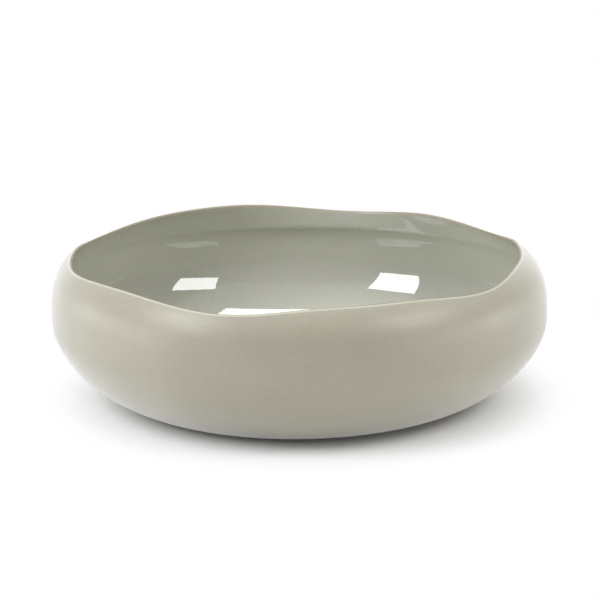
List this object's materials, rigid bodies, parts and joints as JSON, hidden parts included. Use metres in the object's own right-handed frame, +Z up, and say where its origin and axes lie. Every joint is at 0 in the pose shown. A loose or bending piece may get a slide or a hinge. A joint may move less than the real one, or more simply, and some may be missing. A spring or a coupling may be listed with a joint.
{
  "type": "serving bowl",
  "caption": "Low wide serving bowl with walls that swell and curl in to a thin wavy lip, matt clay outside and glossy glaze inside.",
  "frame": {"origin": "middle of the foot, on the surface that the bowl stands on", "axes": "+Z up; -Y is the side seen first, the front; +X is to its right"},
  "size_m": [0.2821, 0.2779, 0.085],
  "materials": {
    "clay": "matt unglazed, fine grained, warm grey",
    "glaze": "glossy clear glaze over grey-green clay"
  },
  "bodies": {
    "root": {"clay_body": "clay", "inner_glaze": "glaze"}
  },
  "joints": []
}
